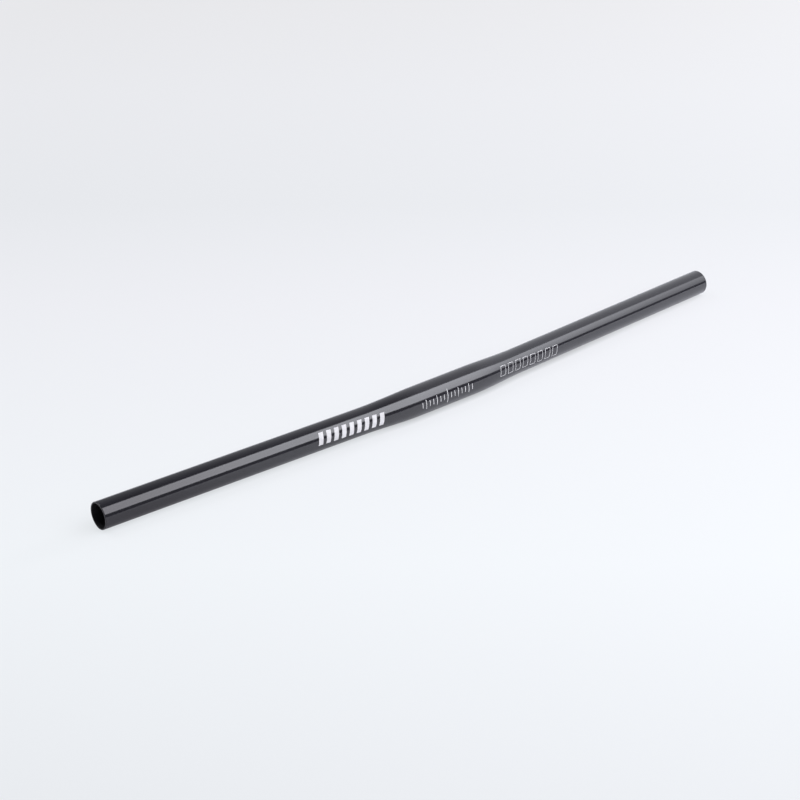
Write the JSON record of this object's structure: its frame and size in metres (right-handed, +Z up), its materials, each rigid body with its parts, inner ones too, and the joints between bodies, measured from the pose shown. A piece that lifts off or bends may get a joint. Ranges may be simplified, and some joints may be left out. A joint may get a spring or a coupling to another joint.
{
  "type": "flat handlebar",
  "caption": "Flat bicycle handlebar: a gloss black titanium tube, thicker where the stem clamps it, tapering to straight grips that sweep back slightly, with open tips.",
  "frame": {"origin": "middle of the clamp zone, on the tube's axis, 12.7 mm above the surface that the bar lies on", "axes": "+X along the clamp zone to the right of the picture, the tips sweep back towards +Y, +Z up as the bar lies at rest; in a stem it may be turned about X to any roll"},
  "size_m": [0.6604, 0.0384, 0.0254],
  "materials": {
    "gloss_black_coating": "gloss"
  },
  "bodies": {
    "root": {"handlebar": "gloss_black_coating"}
  },
  "joints": []
}
